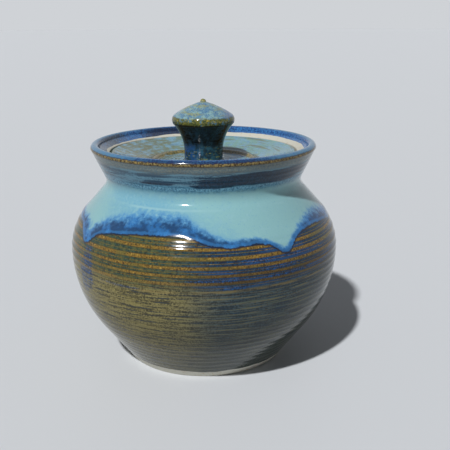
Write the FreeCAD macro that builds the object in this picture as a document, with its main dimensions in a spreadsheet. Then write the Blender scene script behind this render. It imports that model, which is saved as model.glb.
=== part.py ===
import FreeCAD, Part

import math
import os
from types import SimpleNamespace

import Sketcher

# Stoneware bean pot with a sunk, loose lid. Millimetres, +Z up, the origin at the centre of
# the foot, on the surface that the pot stands on.
#
# The pot is thrown in one piece: a trimmed foot ring, a flank that rises straight and then
# swells into the belly, a round shoulder, a hollow neck, a flared collar and a rounded lip.
# The thrower's finger has left rings round the belly: V grooves between sharp ridges.
# Inside the collar a gallery carries the lid: a sloping shelf, a short wall and a flat seat.
# The lid is a dished disc with a flange on that seat and a wall that locates it in the throat.
# The knob is thrown by itself and luted to the middle of the dish.

# Driving sizes, in millimetres. Heights are steps from one level of a piece to the next.
SIZES = {
    # pot, outside, from the foot up
    "foot_radius": 54.0,
    "belly_radius": 91.0,
    "flank_rise": 26.0,
    "belly_rise": 51.0,
    "shoulder_rise": 25.5,
    "slope_rise": 19.0,
    "collar_rise": 25.7,
    "lip_thickness": 5.9,
    # throwing rings, from the shoulder's bend down over the belly
    "rings_drop": 6.2,
    "rings_height": 24.8,
    "ring_pitch": 4.96,
    "ring_depth": 0.5,
    "ridge_wear": 0.05,
    # pot, underneath and inside
    "foot_ring_width": 8.0,
    "foot_recess": 4.0,
    "foot_chamfer": 3.0,
    "floor_thickness": 6.5,
    "floor_bend": 16.0,
    "wall": 5.0,
    # gallery
    "shelf_width": 6.8,
    "shelf_drop": 3.0,
    "seat_depth": 11.0,
    "seat_width": 6.7,
    "ledge_thickness": 4.5,
    "ledge_root": 4.0,
    "ledge_reach": 4.6,
    # lid
    "lid_radius": 61.7,
    "lid_side_gap": 1.0,
    "locating_gap": 1.0,
    "locating_depth": 9.5,
    "locating_thickness": 4.6,
    "flange_thickness": 5.3,
    "dish_depth": 7.3,
    "dish_thickness": 6.0,
    "ring_radius": 34.5,
    "ring_width": 6.0,
    "ring_rise": 1.5,
    # knob, from the luted base up
    "stem_radius": 13.0,
    "luting_width": 1.0,
    "stem_rise": 6.0,
    "flare_rise": 18.0,
    "knob_radius": 21.0,
    "band_rise": 6.6,
    "band_bulge": 1.4,
    "dome_rise": 8.4,
    "dome_bend": 60.0,
    "tip_radius": 2.0,
    # rounded edges
    "soft_edge": 0.8,
    "foot_edge": 1.4,
    "throat_edge": 1.2,
    "inner_bend": 4.0,
    "neck_bend": 7.0,
}

document = FreeCAD.newDocument("bean_pot")
size = SimpleNamespace(**SIZES)


def make_sheet():
    """The spreadsheet of driving sizes: a name, its number and an alias in each row."""
    sheet = document.addObject("Spreadsheet::Sheet", "Sizes")
    for row, (alias, value) in enumerate(SIZES.items(), 1):
        sheet.set(f"A{row}", alias)
        sheet.set(f"B{row}", str(value))
        sheet.setAlias(f"B{row}", alias)
    document.recompute()


def origin_plane(body, role):
    """The body's own origin plane of the given role."""
    return next(plane for plane in body.Origin.OriginFeatures if plane.Role == role)


class Section:
    """A closed half-section on a body's XZ plane, drawn from corner to named corner.

    A corner is (radius, height). The drawing starts near its final place, and constraints that
    read the sheet hold it there.
    """

    ORIGIN = (-1, 1)

    def __init__(self, body, name, corner, place):
        self.sketch = body.newObject("Sketcher::SketchObject", name)
        self.sketch.AttachmentSupport = (origin_plane(body, "XZ_Plane"), [""])
        self.sketch.MapMode = "FlatFace"
        self.first = corner
        self.corners = {corner: None}
        self.here = FreeCAD.Vector(*place, 0)
        self.start = self.here
        self.tail = None

    def _join(self, curve, enter, leave, corner, smooth):
        """Add a curve whose point `enter` meets the drawing's end, and name its far corner."""
        number = self.sketch.addGeometry(curve, False)
        if self.tail is None:
            self.corners[self.first] = (number, enter)
        else:
            kind = "Tangent" if smooth else "Coincident"
            self.sketch.addConstraint(Sketcher.Constraint(kind, *self.tail, number, enter))
        self.tail = (number, leave)
        if corner == self.first:
            first = self.corners[self.first]
            self.sketch.addConstraint(Sketcher.Constraint("Coincident", *self.tail, *first))
        else:
            self.corners[corner] = self.tail
        return number

    def line(self, corner, place=None, smooth=False, along=None):
        """A straight line to a corner; along is None, Horizontal or Vertical."""
        end = self.start if place is None else FreeCAD.Vector(*place, 0)
        number = self._join(Part.LineSegment(self.here, end), 1, 2, corner, smooth)
        if along:
            self.sketch.addConstraint(Sketcher.Constraint(along, number))
        self.here = end
        return number

    def arc(self, corner, place, centre, smooth=False, clockwise=False):
        """A circular arc round a centre to a corner."""
        middle = FreeCAD.Vector(*centre, 0)
        end = FreeCAD.Vector(*place, 0)
        angles = [math.atan2(point.y - middle.y, point.x - middle.x) for point in (self.here, end)]
        if clockwise:
            angles.reverse()
        circle = Part.Circle(middle, FreeCAD.Vector(0, 0, 1), self.here.distanceToPoint(middle))
        ends = (2, 1) if clockwise else (1, 2)
        number = self._join(Part.ArcOfCircle(circle, *angles), *ends, corner, smooth)
        self.here = end
        return number

    def _found(self, points):
        """The (curve, end) pairs of points that are corners' names or such pairs."""
        return [self.corners[point] if isinstance(point, str) else point for point in points]

    def on_axis(self, *points):
        """Hold points on the axis of revolution, which a sketch numbers -2."""
        for point in self._found(points):
            self.sketch.addConstraint(Sketcher.Constraint("PointOnObject", *point, -2))

    def _size(self, kind, start, end, expression, name):
        """A dimension bound to the sheet, counted positive from start to end."""
        places = [self.sketch.getPoint(*point) for point in (start, end)]
        now = places[1] - places[0]
        value = now.x if kind == "DistanceX" else now.y
        if value < 0:
            start, end, value = end, start, -value
            expression = f"-({expression})"
        number = self.sketch.addConstraint(Sketcher.Constraint(kind, *start, *end, value))
        if name:
            self.sketch.renameConstraint(number, name)
        self.sketch.setExpression(f"Constraints[{number}]", expression)

    def radius(self, corner, expression, name=None):
        """Set a corner's radius, its distance from the axis."""
        self._size("DistanceX", self.ORIGIN, self.corners[corner], expression, name)

    def height(self, corner, expression, name=None):
        """Set a corner's height above the origin."""
        self._size("DistanceY", self.ORIGIN, self.corners[corner], expression, name)

    def rise(self, lower, upper, expression, name=None):
        """Set the height from one corner to another."""
        self._size("DistanceY", self.corners[lower], self.corners[upper], expression, name)

    def step(self, inner, outer, expression, name=None):
        """Set the radial distance from one corner to another."""
        self._size("DistanceX", self.corners[inner], self.corners[outer], expression, name)

    def _line_up(self, kind, points):
        """Line up points with the first of them."""
        first, *others = self._found(points)
        for other in others:
            self.sketch.addConstraint(Sketcher.Constraint(kind, *first, *other))

    def level(self, *points):
        """Hold points at one height."""
        self._line_up("Horizontal", points)

    def plumb(self, *points):
        """Hold points at one radius."""
        self._line_up("Vertical", points)

    def bend(self, curve, expression):
        """Set an arc's own radius."""
        value = self.sketch.Geometry[curve].Radius
        number = self.sketch.addConstraint(Sketcher.Constraint("Radius", curve, value))
        self.sketch.setExpression(f"Constraints[{number}]", expression)

    def parallel(self, curve, other):
        """Hold two lines parallel."""
        self.sketch.addConstraint(Sketcher.Constraint("Parallel", curve, other))

    def concentric(self, curve, other):
        """Give two arcs one centre."""
        self.sketch.addConstraint(Sketcher.Constraint("Coincident", curve, 3, other, 3))

    def _measure(self, name, kind, *place):
        """A reference dimension that other sketches and pieces may read."""
        number = self.sketch.addConstraint(Sketcher.Constraint(kind, *place))
        self.sketch.setDriving(number, False)
        self.sketch.renameConstraint(number, name)

    def measure_height(self, corner, name):
        """Measure a corner's height."""
        point = self.corners[corner]
        self._measure(name, "DistanceY", *self.ORIGIN, *point, self.sketch.getPoint(*point).y)

    def measure_bend(self, curve, name):
        """Measure an arc's own radius."""
        self._measure(name, "Radius", curve, self.sketch.Geometry[curve].Radius)

    def soften(self, alias, *corners):
        """Round corners between two lines by a radius of the sheet.

        A corner's name stays with the point where its lines would meet, so its sizes hold.
        """
        for corner in corners:
            self.sketch.fillet(*self.corners[corner], SIZES[alias], True, True)
            arc = self.sketch.GeometryCount - 2
            self.corners[corner] = (arc + 1, 1)
            self.bend(arc, f"Sizes.{alias}")


def turn(body, section, name, feature="PartDesign::Revolution"):
    """Turn a section about the body's own upright axis, to add it or to cut it away."""
    document.recompute()
    solid = body.newObject(feature, name)
    solid.Profile = section.sketch
    solid.ReferenceAxis = (section.sketch, ["V_Axis"])
    solid.Angle = 360.0
    document.recompute()
    return solid


def cut_rings(body, base, flank_bend, shoulder_bend):
    """Cut the throwing rings: V grooves between ridges that follow the swell of the belly.

    The end ridges stand just outside the wall, so that the outer grooves run out into it, and
    the ridges between them are worn to just inside it.
    """
    grooves = round(size.rings_height / size.ring_pitch)
    outside = size.belly_radius + size.ring_depth
    belly_height = size.flank_rise + size.belly_rise

    def mark(step):
        """Half pitch `step`, from the top: its radius, height and their expressions."""
        above = size.shoulder_rise - size.rings_drop - step * size.rings_height / (2 * grooves)
        bend = shoulder_bend if above > 0 else flank_bend
        if step in (0, 2 * grooves):
            sign, alias = "+", "ridge_wear"
        else:
            sign, alias = "-", "ring_depth" if step % 2 else "ridge_wear"
        radius = size.belly_radius - bend + math.sqrt(bend ** 2 - above ** 2)
        radius += float(f"{sign}{SIZES[alias]}")
        down = f"{step} * Sizes.rings_height / {2 * grooves}"
        lift = f"(Sizes.shoulder_rise - Sizes.rings_drop - {down})"
        swelling = "shoulder_bend" if above > 0 else "flank_bend"
        arc = f"({base.sketch.Name}.Constraints.{swelling} / 1 mm)"
        out = f"Sizes.belly_radius - {arc} + sqrt({arc}^2 - {lift}^2) {sign} Sizes.{alias}"
        return (radius, belly_height + above), out, f"Sizes.flank_rise + Sizes.belly_rise + {lift}"

    marks = [mark(step) for step in range(2 * grooves + 1)]
    top, bottom = marks[0][0][1], marks[-1][0][1]
    section = Section(body, "rings_section", "outside_top", (outside, top))
    for step, (place, _, _) in enumerate(marks):
        section.line(f"mark_{step}", place, along=None if step else "Horizontal")
    section.line("outside_bottom", (outside, bottom), along="Horizontal")
    section.line("outside_top", along="Vertical")
    section.radius("outside_bottom", "Sizes.belly_radius + Sizes.ring_depth")
    for step, (_, out, height) in enumerate(marks):
        section.radius(f"mark_{step}", out)
        section.height(f"mark_{step}", height)

    before = body.Shape.Volume
    turn(body, section, "throwing_rings", "PartDesign::Groove")
    if not 0 < before - body.Shape.Volume < before / 10:
        raise RuntimeError("the throwing rings cut nothing or too much")


def swell(drop, straight, curved):
    """Half-angle tangent of an arc that ends upright and runs on into a straight line.

    The arc rises by `curved`, the line by `straight`, and together they move out by `drop`.
    """
    half = drop / (curved + 2 * straight)
    for _ in range(30):
        half = drop / (curved + 2 * straight / (1 - half * half))
    return half


def arc_join(belly, drop, straight, curved):
    """Where such an arc meets its line: the arc's radius, and the join's radius and offset."""
    half = swell(drop, straight, curved)
    angle = 2 * math.atan(half)
    return curved / math.sin(angle), belly - curved * half, angle


def make_pot():
    """The thrown pot: foot ring, flank, belly, shoulder, neck, collar, lip and gallery."""
    body = document.addObject("PartDesign::Body", "pot")
    body.Label = "pot"

    belly_height = size.flank_rise + size.belly_rise
    slope_foot = belly_height + size.shoulder_rise
    neck_height = slope_foot + size.slope_rise
    rim_height = neck_height + size.collar_rise
    lip_height = rim_height - size.lip_thickness / 2
    seat_height = rim_height - size.seat_depth
    gallery_radius = size.lid_radius + size.lid_side_gap
    shelf_radius = gallery_radius + size.shelf_width
    rim_radius = shelf_radius + size.lip_thickness
    lip_radius = shelf_radius + size.lip_thickness / 2
    throat_radius = size.lid_radius - size.seat_width
    inner_neck = throat_radius + size.ledge_reach
    neck_radius = inner_neck + size.wall
    floor_height = size.foot_recess + size.floor_thickness
    ring_inner = size.foot_radius - size.foot_ring_width

    flank_bend, flank_radius, flank_lean = arc_join(
        size.belly_radius, size.belly_radius - size.foot_radius, size.flank_rise, size.belly_rise
    )
    round_bend, round_radius, round_lean = arc_join(
        size.belly_radius, size.belly_radius - neck_radius, size.slope_rise, size.shoulder_rise
    )
    flank_centre = (size.belly_radius - flank_bend, belly_height)
    round_centre = (size.belly_radius - round_bend, belly_height)

    def inside(centre, bend, angle):
        """A point on an inner arc, one wall in from the outer arc of that bend."""
        reach = bend - size.wall
        return centre[0] + reach * math.cos(angle), centre[1] + reach * math.sin(angle)

    inner_flank = inside(flank_centre, flank_bend, -flank_lean)
    inner_round = inside(round_centre, round_bend, round_lean)
    neck_inside = inner_round[1] + (inner_round[0] - inner_neck) / math.tan(round_lean)
    # the floor's bend touches the floor and the inner flank
    bend_height = floor_height + size.floor_bend
    bend_end = bend_height - size.floor_bend * math.sin(flank_lean)
    bend_radius = inner_flank[0] - (inner_flank[1] - bend_end) * math.tan(flank_lean)
    bend_centre = (bend_radius - size.floor_bend * math.cos(flank_lean), bend_height)

    section = Section(body, "pot_section", "underside", (0, size.foot_recess))
    section.line("recess_edge", (ring_inner - size.foot_chamfer, size.foot_recess),
                 along="Horizontal")
    section.line("ring_inner", (ring_inner, 0))
    section.line("foot", (size.foot_radius, 0), along="Horizontal")
    flank = section.line("flank_top", (flank_radius, size.flank_rise))
    swelling = section.arc("belly", (size.belly_radius, belly_height), flank_centre, smooth=True)
    shoulder = section.arc("shoulder", (round_radius, slope_foot), round_centre, smooth=True)
    slope = section.line("neck", (neck_radius, neck_height), smooth=True)
    section.line("lip_outer", (rim_radius, lip_height))
    lip_outside = section.arc("lip_crest", (lip_radius, rim_height), (lip_radius, lip_height))
    lip_inside = section.arc("lip_inner", (shelf_radius, lip_height), (lip_radius, lip_height))
    section.line("gallery_top", (gallery_radius, lip_height - size.shelf_drop))
    section.line("gallery_root", (gallery_radius, seat_height), along="Vertical")
    section.line("seat_edge", (throat_radius, seat_height), along="Horizontal")
    section.line("throat", (throat_radius, seat_height - size.ledge_thickness), along="Vertical")
    section.line("ledge_foot",
                 (inner_neck, seat_height - size.ledge_thickness - size.ledge_root))
    section.line("inner_neck", (inner_neck, neck_inside), along="Vertical")
    inner_slope = section.line("inner_shoulder", inner_round)
    inner_shoulder = section.arc("inner_belly", inside(round_centre, round_bend, 0),
                                 round_centre, smooth=True, clockwise=True)
    inner_swelling = section.arc("inner_flank", inner_flank, flank_centre,
                                 smooth=True, clockwise=True)
    inner_line = section.line("bend_top", (bend_radius, bend_end), smooth=True)
    floor_bend = section.arc("floor_edge", (bend_centre[0], floor_height), bend_centre,
                             smooth=True, clockwise=True)
    section.line("floor", (0, floor_height), smooth=True)
    section.line("underside")

    section.on_axis("underside", "floor")
    section.height("underside", "Sizes.foot_recess")
    section.height("ring_inner", "0")
    section.radius("foot", "Sizes.foot_radius")
    section.step("ring_inner", "foot", "Sizes.foot_ring_width")
    section.step("recess_edge", "ring_inner", "Sizes.foot_chamfer")
    section.rise("foot", "flank_top", "Sizes.flank_rise")
    section.rise("flank_top", "belly", "Sizes.belly_rise")
    section.rise("belly", "shoulder", "Sizes.shoulder_rise")
    section.rise("shoulder", "neck", "Sizes.slope_rise")
    section.radius("belly", "Sizes.belly_radius")
    section.level("belly", (swelling, 3))
    section.radius("gallery_root", "Sizes.lid_radius + Sizes.lid_side_gap")
    section.radius("seat_edge", "Sizes.lid_radius - Sizes.seat_width")
    section.step("gallery_root", "lip_inner", "Sizes.shelf_width")
    section.step("lip_inner", "lip_outer", "Sizes.lip_thickness")
    section.level("lip_outer", (lip_outside, 3), "lip_inner")
    section.concentric(lip_outside, lip_inside)
    section.plumb("lip_crest", (lip_outside, 3))
    section.rise("neck", "lip_crest", "Sizes.collar_rise")
    section.rise("neck", "gallery_root", "Sizes.collar_rise - Sizes.seat_depth")
    section.rise("gallery_top", "lip_inner", "Sizes.shelf_drop")
    section.rise("throat", "seat_edge", "Sizes.ledge_thickness")
    section.rise("ledge_foot", "throat", "Sizes.ledge_root")
    section.step("throat", "ledge_foot", "Sizes.ledge_reach")
    section.step("ledge_foot", "neck", "Sizes.wall")
    section.concentric(inner_shoulder, shoulder)
    section.concentric(inner_swelling, swelling)
    section.step("inner_belly", "belly", "Sizes.wall")
    section.parallel(inner_slope, slope)
    section.parallel(inner_line, flank)
    section.rise("underside", "floor", "Sizes.floor_thickness")
    section.bend(floor_bend, "Sizes.floor_bend")
    section.measure_height("gallery_root", "seat_height")
    section.measure_bend(swelling, "flank_bend")
    section.measure_bend(shoulder, "shoulder_bend")

    section.soften("foot_edge", "foot")
    section.soften("neck_bend", "neck")
    section.soften("throat_edge", "seat_edge")
    section.soften("soft_edge", "gallery_top")
    section.soften("inner_bend", "ledge_foot", "inner_neck")
    turn(body, section, "thrown_pot")
    cut_rings(body, section, flank_bend, round_bend)
    return body, section


def make_lid(pot_section):
    """The lid: a dished disc with a raised ring, a flange and a wall that locates it."""
    body = document.addObject("PartDesign::Body", "lid")
    body.Label = "lid"

    dish_floor = size.flange_thickness - size.dish_depth
    dish_under = dish_floor - size.dish_thickness
    ring_inner = size.ring_radius - size.ring_width / 2
    ring_outer = size.ring_radius + size.ring_width / 2
    ring_sink = ((size.ring_width / 2) ** 2 - size.ring_rise ** 2) / (2 * size.ring_rise)
    wall_outer = size.lid_radius - size.seat_width - size.locating_gap
    wall_inner = wall_outer - size.locating_thickness
    lean = size.dish_depth / (size.lid_radius - ring_outer)
    wall_root = dish_under + (wall_inner - ring_outer) * lean

    section = Section(body, "lid_section", "underside", (0, dish_under))
    section.line("under_edge", (ring_outer, dish_under), along="Horizontal")
    under_slope = section.line("wall_root", (wall_inner, wall_root))
    section.line("wall_inner", (wall_inner, -size.locating_depth), along="Vertical")
    section.line("wall_outer", (wall_outer, -size.locating_depth), along="Horizontal")
    section.line("flange_root", (wall_outer, 0), along="Vertical")
    section.line("flange_edge", (size.lid_radius, 0), along="Horizontal")
    section.line("flange_top", (size.lid_radius, size.flange_thickness), along="Vertical")
    dish_slope = section.line("ring_outer", (ring_outer, dish_floor))
    ring = section.arc("ring_inner", (ring_inner, dish_floor),
                       (size.ring_radius, dish_floor - ring_sink))
    section.line("pad", (0, dish_floor), along="Horizontal")
    section.line("underside")

    section.on_axis("underside", "pad")
    section.height("flange_edge", "0")
    section.radius("flange_edge", "Sizes.lid_radius")
    section.rise("flange_edge", "flange_top", "Sizes.flange_thickness")
    section.radius("flange_root", "Sizes.lid_radius - Sizes.seat_width - Sizes.locating_gap")
    section.rise("wall_outer", "flange_root", "Sizes.locating_depth")
    section.step("wall_inner", "wall_outer", "Sizes.locating_thickness")
    section.rise("pad", "flange_top", "Sizes.dish_depth")
    section.rise("underside", "pad", "Sizes.dish_thickness")
    section.level("ring_inner", "ring_outer")
    section.radius("ring_outer", "Sizes.ring_radius + Sizes.ring_width / 2")
    section.step("ring_inner", "ring_outer", "Sizes.ring_width")
    section.bend(ring, "((Sizes.ring_width / 2)^2 + Sizes.ring_rise^2) / (2 * Sizes.ring_rise)")
    section.plumb("ring_outer", "under_edge")
    section.parallel(under_slope, dish_slope)
    section.measure_height("pad", "pad_height")

    section.soften("soft_edge", "flange_top", "flange_edge")
    section.soften("throat_edge", "wall_outer")
    turn(body, section, "thrown_lid")
    body.setExpression("Placement.Base.z", f"{pot_section.sketch.Name}.Constraints.seat_height")
    return body, section


def make_knob(pot_section, lid_section):
    """The knob: a straight stem, a flare, a rounded band and a low dome with a tip."""
    body = document.addObject("PartDesign::Body", "knob")
    body.Label = "knob"

    luted_radius = size.stem_radius + size.luting_width
    band_edge = size.knob_radius - size.band_bulge
    band_foot = size.stem_rise + size.flare_rise
    band_top = band_foot + size.band_rise
    dome_top = band_top + size.dome_rise
    out = band_edge - size.stem_radius
    flare_bend = (out ** 2 + size.flare_rise ** 2) / (2 * out)
    band_bend = ((size.band_rise / 2) ** 2 + size.band_bulge ** 2) / (2 * size.band_bulge)
    # the dome's centre lies below the middle of its chord
    across = FreeCAD.Vector(size.tip_radius - band_edge, size.dome_rise, 0)
    middle = FreeCAD.Vector(band_edge, band_top, 0) + across * 0.5
    sink = math.sqrt(size.dome_bend ** 2 - (across.Length / 2) ** 2)
    down = FreeCAD.Vector(-across.y, across.x, 0).normalize()
    dome_centre = middle + down * sink

    section = Section(body, "knob_section", "base", (0, 0))
    section.line("luted_edge", (luted_radius, 0), along="Horizontal")
    section.line("stem_foot", (size.stem_radius, size.luting_width))
    section.line("stem_top", (size.stem_radius, size.stem_rise), along="Vertical")
    section.arc("band_foot", (band_edge, band_foot),
                (size.stem_radius + flare_bend, size.stem_rise), smooth=True, clockwise=True)
    band = section.arc("band_top", (band_edge, band_top),
                       (size.knob_radius - band_bend, band_foot + size.band_rise / 2))
    dome = section.arc("dome_top", (size.tip_radius, dome_top), (dome_centre.x, dome_centre.y))
    tip = section.arc("tip", (0, dome_top + size.tip_radius), (0, dome_top))
    section.line("base")

    section.on_axis("base", "tip", (tip, 3))
    section.height("base", "0")
    section.radius("stem_top", "Sizes.stem_radius")
    section.step("stem_foot", "luted_edge", "Sizes.luting_width")
    section.rise("luted_edge", "stem_foot", "Sizes.luting_width")
    section.height("stem_top", "Sizes.stem_rise")
    section.rise("stem_top", "band_foot", "Sizes.flare_rise")
    section.radius("band_foot", "Sizes.knob_radius - Sizes.band_bulge")
    section.plumb("band_foot", "band_top")
    section.rise("band_foot", "band_top", "Sizes.band_rise")
    section.bend(band, "((Sizes.band_rise / 2)^2 + Sizes.band_bulge^2) / (2 * Sizes.band_bulge)")
    section.rise("band_top", "dome_top", "Sizes.dome_rise")
    section.bend(dome, "Sizes.dome_bend")
    section.radius("dome_top", "Sizes.tip_radius")
    section.level("dome_top", (tip, 3))

    turn(body, section, "thrown_knob")
    body.setExpression(
        "Placement.Base.z",
        f"{pot_section.sketch.Name}.Constraints.seat_height"
        f" + {lid_section.sketch.Name}.Constraints.pad_height",
    )
    return body


def check(bodies):
    """Stop on any failed object or any sub-part without one valid solid."""
    document.recompute()
    for item in document.Objects:
        if any(word in item.State for word in ("Invalid", "Error")):
            raise RuntimeError(f"{item.Name} is {item.State}")
    for body in bodies:
        shape = body.Shape
        if shape.isNull() or not shape.isValid() or len(shape.Solids) != 1:
            raise RuntimeError(f"{body.Label} isn't one valid solid")


make_sheet()
pot, pot_section = make_pot()
lid, lid_section = make_lid(pot_section)
knob = make_knob(pot_section, lid_section)
pieces = [pot, lid, knob]
check(pieces)

os.makedirs("parts", exist_ok=True)
for piece in pieces:
    piece.Shape.exportStep(f"parts/{piece.Label}.step")
    box = piece.Shape.BoundBox
    print(f"{piece.Label}: {piece.Shape.Volume / 1000:.1f} cm3, radius {box.XMax:.2f},"
          f" z {box.ZMin:.2f} to {box.ZMax:.2f}")
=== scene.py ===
"""A thrown stoneware bean pot with a sunk, loose lid, dressed in its running glazes."""

import logging
import math
from dataclasses import dataclass
from enum import Enum
from itertools import zip_longest

import bmesh
import bpy
import numpy as np
from bpy.types import Material, Mesh, NodeSocket, Object
from mathutils import Matrix, Vector


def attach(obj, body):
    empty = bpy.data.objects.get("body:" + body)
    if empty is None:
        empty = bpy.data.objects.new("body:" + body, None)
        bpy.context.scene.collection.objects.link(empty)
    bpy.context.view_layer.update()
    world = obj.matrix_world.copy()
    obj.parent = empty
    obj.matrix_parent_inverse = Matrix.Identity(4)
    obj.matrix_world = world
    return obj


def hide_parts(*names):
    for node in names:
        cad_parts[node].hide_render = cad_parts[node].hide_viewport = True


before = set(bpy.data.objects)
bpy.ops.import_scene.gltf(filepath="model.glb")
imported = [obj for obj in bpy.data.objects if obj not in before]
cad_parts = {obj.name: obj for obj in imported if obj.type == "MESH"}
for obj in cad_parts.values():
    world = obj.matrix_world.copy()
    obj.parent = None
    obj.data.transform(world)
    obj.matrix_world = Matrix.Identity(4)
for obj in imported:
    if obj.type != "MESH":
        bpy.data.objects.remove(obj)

logging.basicConfig(level=logging.INFO, format="%(message)s")
log = logging.getLogger("bean_pot")

MM = 0.001  # metres in a millimetre: sizes of the pot are written in millimetres
WELD = 0.002 * MM  # vertices closer than this are joined
HAIR = 1e-9  # millimetres between two points that share a place on a path
SETTLING = 30  # rounds in which the lean of a joined arc settles
FULL_TURN = 2 * math.pi

Point = tuple[float, float]


class Body(Enum):
    """The bodies that move on their own."""

    POT = "pot"
    LID = "lid"


class Slot(Enum):
    """The finishes that the record names."""

    POT = "pot_glaze"
    LID = "lid_glaze"
    KNOB = "knob_glaze"


class Axis(Enum):
    """Where a place on a piece lies, in millimetres: to the right, up, and out of the axis."""

    ACROSS = "across"
    HEIGHT = "height"
    RADIUS = "radius"


class Mark(Enum):
    """Names of the values that a mesh carries for its glaze, one for each vertex."""

    TRAVEL = "travel"
    CREST = "crest"
    RUN = "run"
    FEATHER = "feather"
    STAIN = "stain"

    def make(self, desk: "GlazeDesk") -> NodeSocket:
        """The value as a glaze reads it."""
        return desk.node("Attribute", {}, attribute_name=self.value).outputs["Fac"]


def joined_arc(belly: float, drop: float, straight: float, curved: float) -> tuple[Point, float]:
    """Find where an arc that stands upright at the belly runs on into a straight line.

    Args:
        belly: the belly's radius.
        drop: how far the arc and the line together draw in.
        straight: the line's rise.
        curved: the arc's rise.

    Returns:
        The join's radius and the lean of the line there, and the arc's own radius.
    """
    half = drop / (curved + 2 * straight)
    for _ in range(SETTLING):
        half = drop / (curved + 2 * straight / (1 - half * half))
    lean = 2 * math.atan(half)
    return (belly - curved * half, lean), curved / math.sin(lean)


def bend_over(half: float, rise: float) -> float:
    """The radius of an arc over a chord, from half the chord and the arc's rise."""
    return (half ** 2 + rise ** 2) / (2 * rise)


@dataclass(frozen=True)
class Stretch:
    """One stretch of a section, up to a named corner.

    It is an arc if it has a bend, and otherwise straight, with its corner rounded if it has a
    rounding. Both are radii, and a bend is negative where the drawing turns right. The pace is
    the longest edge of the mesh. All are in millimetres.
    """

    corner: str
    end: Point
    pace: float
    bend: float = 0.0
    rounding: float = 0.0


class SectionPen:
    """Draws half a piece's section from corner to corner, ready to be spun.

    The section lies in the plane Y = 0, and a point on it is (radius, height) in millimetres.
    """

    def __init__(self, start: Point, stretches: list[Stretch]) -> None:
        """Draw the section.

        Args:
            start: the point where it begins.
            stretches: its stretches, in order.
        """
        self.shape = bmesh.new()
        self.travel_layer = self.shape.verts.layers.float.new(Mark.TRAVEL.value)
        self.here = start
        self.tip = self.shape.verts.new(self._place(start))
        self.travel = 0.0
        self.corners: dict[str, float] = {}
        self.path: list[tuple[float, float, float]] = [(0.0, *start)]
        for stretch, onward in zip_longest(stretches, stretches[1:]):
            if stretch.bend:
                self._arc(stretch.corner, stretch.end, stretch.bend, stretch.pace)
            elif stretch.rounding:
                self._round_corner(stretch, onward.end)
            else:
                self._line(stretch.corner, stretch.end, stretch.pace)

    @staticmethod
    def _place(point: Point) -> Vector:
        """A section point in metres."""
        return Vector((point[0], 0.0, point[1])) * MM

    def _log_stretch(self, verts: list[bmesh.types.BMVert], length: float) -> None:
        """Give new vertices, in drawing order, their travel along the section."""
        for count, vert in enumerate(verts, 1):
            vert[self.travel_layer] = self.travel + length * count / len(verts)
            self.path.append((vert[self.travel_layer], vert.co.x / MM, vert.co.z / MM))
        self.travel += length

    def _line(self, corner: str, end: Point, pace: float) -> None:
        """Draw a straight stretch.

        Args:
            corner: the name of the corner where it ends.
            end: where that corner is.
            pace: the longest edge, in millimetres.
        """
        length = math.dist(self.here, end)
        count = max(1, math.ceil(length / pace))
        verts = []
        for step in range(1, count + 1):
            made = bmesh.ops.extrude_vert_indiv(self.shape, verts=[self.tip])
            self.tip = made["verts"][0]
            share = step / count
            point = tuple(a + (b - a) * share for a, b in zip(self.here, end))
            self.tip.co = self._place(point)
            verts.append(self.tip)
        self._log_stretch(verts, length)
        self.here = end
        self.corners[corner] = self.travel

    def _arc(self, corner: str, end: Point, bend: float, pace: float) -> None:
        """Draw a round stretch, shorter than half a turn.

        Args:
            corner: the name of the corner where it ends.
            end: where that corner is.
            bend: the arc's radius, positive where the drawing turns left, negative where right.
            pace: the longest edge, in millimetres.
        """
        start, finish = Vector(self.here), Vector(end)
        chord = finish - start
        half = chord.length / 2
        left = Vector((-chord.y, chord.x)).normalized()
        centre = (start + finish) / 2 + left * math.copysign(
            math.sqrt(max(bend * bend - half * half, 0.0)), bend)
        turn = math.copysign(2 * math.asin(min(half / abs(bend), 1.0)), bend)
        length = abs(turn * bend)
        count = max(2, math.ceil(length / pace))
        verts = []
        for _ in range(count):
            made = bmesh.ops.spin(
                self.shape, geom=[self.tip], cent=self._place(tuple(centre)), axis=(0, -1, 0),
                angle=turn / count, steps=1, use_duplicate=False,
            )
            self.tip = next(e for e in made["geom_last"] if isinstance(e, bmesh.types.BMVert))
            verts.append(self.tip)
        self._log_stretch(verts, length)
        self.here = end
        self.corners[corner] = self.travel

    def _round_corner(self, stretch: Stretch, onward: Point) -> None:
        """Draw a straight stretch and round its corner off, which keeps its name in the middle.

        Args:
            stretch: the stretch up to the sharp corner.
            onward: the next corner, which tells which way the drawing goes on.
        """
        corner, place, pace = stretch.corner, Vector(stretch.end), stretch.pace
        before = (place - Vector(self.here)).normalized()
        after = (Vector(onward) - place).normalized()
        turn = before.angle_signed(after)
        cut = stretch.rounding * math.tan(abs(turn) / 2)
        self._line(f"{corner}_start", tuple(place - before * cut), pace)
        start = self.travel
        # in a plane, angle_signed is positive clockwise
        self._arc(f"{corner}_end", tuple(place + after * cut),
                  math.copysign(stretch.rounding, -turn), min(pace, stretch.rounding / 3))
        self.corners[corner] = (start + self.travel) / 2

    def spin(self, name: str, steps: int) -> Mesh:
        """Spin the section a full turn and close it.

        Args:
            name: the mesh's name.
            steps: how many steps the turn takes.

        Returns:
            The closed mesh, its faces outwards, with its travel values.
        """
        geometry = self.shape.verts[:] + self.shape.edges[:]
        bmesh.ops.spin(
            self.shape, geom=geometry, cent=(0, 0, 0), axis=(0, 0, 1),
            angle=FULL_TURN, steps=steps, use_merge=True, use_duplicate=False,
        )
        bmesh.ops.remove_doubles(self.shape, verts=self.shape.verts, dist=WELD)
        bmesh.ops.recalc_face_normals(self.shape, faces=self.shape.faces)
        mesh = bpy.data.meshes.new(name)
        self.shape.to_mesh(mesh)
        self.shape.free()
        mesh.shade_smooth()
        return mesh


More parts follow.
